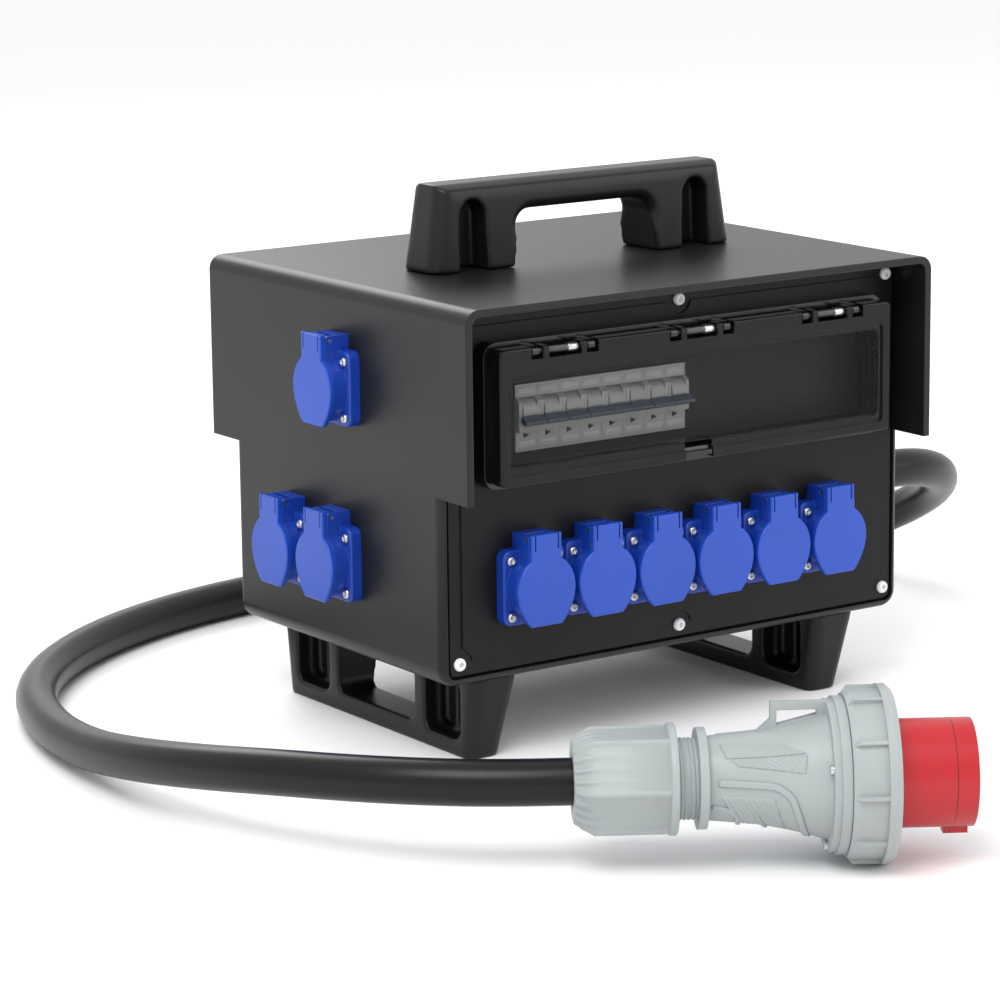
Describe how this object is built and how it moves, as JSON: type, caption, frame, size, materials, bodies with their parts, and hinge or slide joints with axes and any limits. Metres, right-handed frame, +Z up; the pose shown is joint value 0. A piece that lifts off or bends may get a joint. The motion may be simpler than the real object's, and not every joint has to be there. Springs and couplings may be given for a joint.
{
  "type": "portable power distribution box",
  "caption": "Black rubber power distribution box with blue lidded sockets, a hinged breaker window, a carrying handle, feet and a heavy lead with a red plug.",
  "frame": {"origin": "on the floor under the middle of the box without its lead and plug", "axes": "+X to the right seen from the front, +Y from the front panel to the back, +Z up"},
  "size_m": [0.8324, 0.8521, 0.3705],
  "materials": {
    "housing": "satin black moulded rubber",
    "handle": "satin black moulded rubber",
    "foot": "satin black moulded rubber",
    "panel": "black, fine moulded grain",
    "seal": "soft black seal",
    "white_screw": "white coated screw",
    "steel": "zinc plated",
    "window_frame": "black gloss",
    "smoked_window": "smoked clear plastic",
    "rail": "zinc plated strip",
    "cover": "dark grey",
    "terminal": "grey",
    "breaker": "light grey",
    "toggle": "grey-blue",
    "socket": "signal blue",
    "socket_lid": "signal blue",
    "gland": "black polyamide",
    "lead": "black rubber sheath",
    "plug_grey": "light grey polyamide",
    "plug_red": "signal red",
    "brass_pin": "turned brass, nickel plated"
  },
  "bodies": {
    "enclosure": {"housing_shell": "housing", "front_panel": "panel", "panel_gasket": "seal", "panel_screws": "white_screw", "carry_handle": "handle", "shell_screws": "steel", "foot_left": "foot", "foot_right": "foot", "window_frame": "window_frame", "window_hinge_pins": "steel", "din_rail": "rail", "breaker_cover": "cover", "terminal_block": "terminal", "breaker_1": "breaker", "breaker_2": "breaker", "breaker_3": "breaker", "breaker_4": "breaker", "breaker_5": "breaker", "breaker_6": "breaker", "breaker_7": "breaker", "breaker_8": "breaker", "socket_front_1": "socket", "socket_front_2": "socket", "socket_front_3": "socket", "socket_front_4": "socket", "socket_front_5": "socket", "socket_front_6": "socket", "socket_side_1": "socket", "socket_side_2": "socket", "socket_side_3": "socket", "socket_screws": "steel", "socket_hinge_pins": "steel", "cable_gland": "gland", "gland_nut": "gland", "supply_cable": "lead", "plug_gland_nut": "plug_grey", "plug_body": "plug_grey", "plug_shroud": "plug_red", "plug_pins": "brass_pin", "plug_screws": "steel"},
    "window_lid": {"window_lid": "smoked_window"},
    "window_latch": {"window_latch": "window_frame"},
    "locking_ring": {"plug_locking_ring": "plug_grey"},
    "lid_front_1": {"socket_lid_front_1": "socket_lid"},
    "lid_front_2": {"socket_lid_front_2": "socket_lid"},
    "lid_front_3": {"socket_lid_front_3": "socket_lid"},
    "lid_front_4": {"socket_lid_front_4": "socket_lid"},
    "lid_front_5": {"socket_lid_front_5": "socket_lid"},
    "lid_front_6": {"socket_lid_front_6": "socket_lid"},
    "lid_side_1": {"socket_lid_side_1": "socket_lid"},
    "lid_side_2": {"socket_lid_side_2": "socket_lid"},
    "lid_side_3": {"socket_lid_side_3": "socket_lid"},
    "toggle_1": {"breaker_toggle_1": "toggle"},
    "toggle_2": {"breaker_toggle_2": "toggle"},
    "toggle_3": {"breaker_toggle_3": "toggle"},
    "toggle_4": {"breaker_toggle_4": "toggle"},
    "toggle_5": {"breaker_toggle_5": "toggle"},
    "toggle_6": {"breaker_toggle_6": "toggle"},
    "toggle_7": {"breaker_toggle_7": "toggle"},
    "toggle_8": {"breaker_toggle_8": "toggle"}
  },
  "joints": [
    {"name": "window_lid_hinge", "type": "hinge", "parent": "enclosure", "child": "window_lid", "pos_m": [0.01135, -0.1473, 0.2775], "axis": [-1, 0, 0], "range_deg": [0, 120], "stiffness_Nm_per_rad": 0.02, "springref_deg": -28.65},
    {"name": "window_latch_pivot", "type": "hinge", "parent": "window_lid", "child": "window_latch", "pos_m": [0.0092, -0.1455, 0.1967], "axis": [-1, 0, 0], "range_deg": [0, 25], "stiffness_Nm_per_rad": 0.002, "springref_deg": -28.65},
    {"name": "lid_front_1_hinge", "type": "hinge", "parent": "enclosure", "child": "lid_front_1", "pos_m": [-0.11505, -0.142, 0.1517], "axis": [-1, 0, 0], "range_deg": [0, 100], "stiffness_Nm_per_rad": 0.01, "springref_deg": -57.3},
    {"name": "lid_front_2_hinge", "type": "hinge", "parent": "enclosure", "child": "lid_front_2", "pos_m": [-0.06505, -0.142, 0.1517], "axis": [-1, 0, 0], "range_deg": [0, 100], "stiffness_Nm_per_rad": 0.01, "springref_deg": -57.3},
    {"name": "lid_front_3_hinge", "type": "hinge", "parent": "enclosure", "child": "lid_front_3", "pos_m": [-0.01505, -0.142, 0.1517], "axis": [-1, 0, 0], "range_deg": [0, 100], "stiffness_Nm_per_rad": 0.01, "springref_deg": -57.3},
    {"name": "lid_front_4_hinge", "type": "hinge", "parent": "enclosure", "child": "lid_front_4", "pos_m": [0.03495, -0.142, 0.1517], "axis": [-1, 0, 0], "range_deg": [0, 100], "stiffness_Nm_per_rad": 0.01, "springref_deg": -57.3},
    {"name": "lid_front_5_hinge", "type": "hinge", "parent": "enclosure", "child": "lid_front_5", "pos_m": [0.08495, -0.142, 0.1517], "axis": [-1, 0, 0], "range_deg": [0, 100], "stiffness_Nm_per_rad": 0.01, "springref_deg": -57.3},
    {"name": "lid_front_6_hinge", "type": "hinge", "parent": "enclosure", "child": "lid_front_6", "pos_m": [0.13495, -0.142, 0.1517], "axis": [-1, 0, 0], "range_deg": [0, 100], "stiffness_Nm_per_rad": 0.01, "springref_deg": -57.3},
    {"name": "lid_side_1_hinge", "type": "hinge", "parent": "enclosure", "child": "lid_side_1", "pos_m": [-0.19865, -0.009, 0.2755], "axis": [0, 1, 0], "range_deg": [0, 100], "stiffness_Nm_per_rad": 0.01, "springref_deg": -57.3},
    {"name": "lid_side_2_hinge", "type": "hinge", "parent": "enclosure", "child": "lid_side_2", "pos_m": [-0.19865, -0.007, 0.1555], "axis": [0, 1, 0], "range_deg": [0, 100], "stiffness_Nm_per_rad": 0.01, "springref_deg": -57.3},
    {"name": "lid_side_3_hinge", "type": "hinge", "parent": "enclosure", "child": "lid_side_3", "pos_m": [-0.19865, 0.05, 0.1555], "axis": [0, 1, 0], "range_deg": [0, 100], "stiffness_Nm_per_rad": 0.01, "springref_deg": -57.3},
    {"name": "toggle_1_pivot", "type": "hinge", "parent": "enclosure", "child": "toggle_1", "pos_m": [-0.1127, -0.121, 0.234], "axis": [-1, 0, 0], "range_deg": [0, 55]},
    {"name": "toggle_2_pivot", "type": "hinge", "parent": "enclosure", "child": "toggle_2", "pos_m": [-0.0952, -0.121, 0.234], "axis": [-1, 0, 0], "range_deg": [0, 55]},
    {"name": "toggle_3_pivot", "type": "hinge", "parent": "enclosure", "child": "toggle_3", "pos_m": [-0.0777, -0.121, 0.234], "axis": [-1, 0, 0], "range_deg": [0, 55]},
    {"name": "toggle_4_pivot", "type": "hinge", "parent": "enclosure", "child": "toggle_4", "pos_m": [-0.0602, -0.121, 0.234], "axis": [-1, 0, 0], "range_deg": [0, 55]},
    {"name": "toggle_5_pivot", "type": "hinge", "parent": "enclosure", "child": "toggle_5", "pos_m": [-0.0427, -0.121, 0.234], "axis": [-1, 0, 0], "range_deg": [0, 55]},
    {"name": "toggle_6_pivot", "type": "hinge", "parent": "enclosure", "child": "toggle_6", "pos_m": [-0.0252, -0.121, 0.234], "axis": [-1, 0, 0], "range_deg": [0, 55]},
    {"name": "toggle_7_pivot", "type": "hinge", "parent": "enclosure", "child": "toggle_7", "pos_m": [-0.0077, -0.121, 0.234], "axis": [-1, 0, 0], "range_deg": [0, 55]},
    {"name": "toggle_8_pivot", "type": "hinge", "parent": "enclosure", "child": "toggle_8", "pos_m": [0.0098, -0.121, 0.234], "axis": [-1, 0, 0], "range_deg": [0, 55]},
    {"name": "locking_ring_turn", "type": "hinge", "parent": "enclosure", "child": "locking_ring", "pos_m": [-0.08726, -0.43496, 0.0545], "axis": [0.8508, -0.5255, 0], "range_deg": [0, 60]}
  ]
}
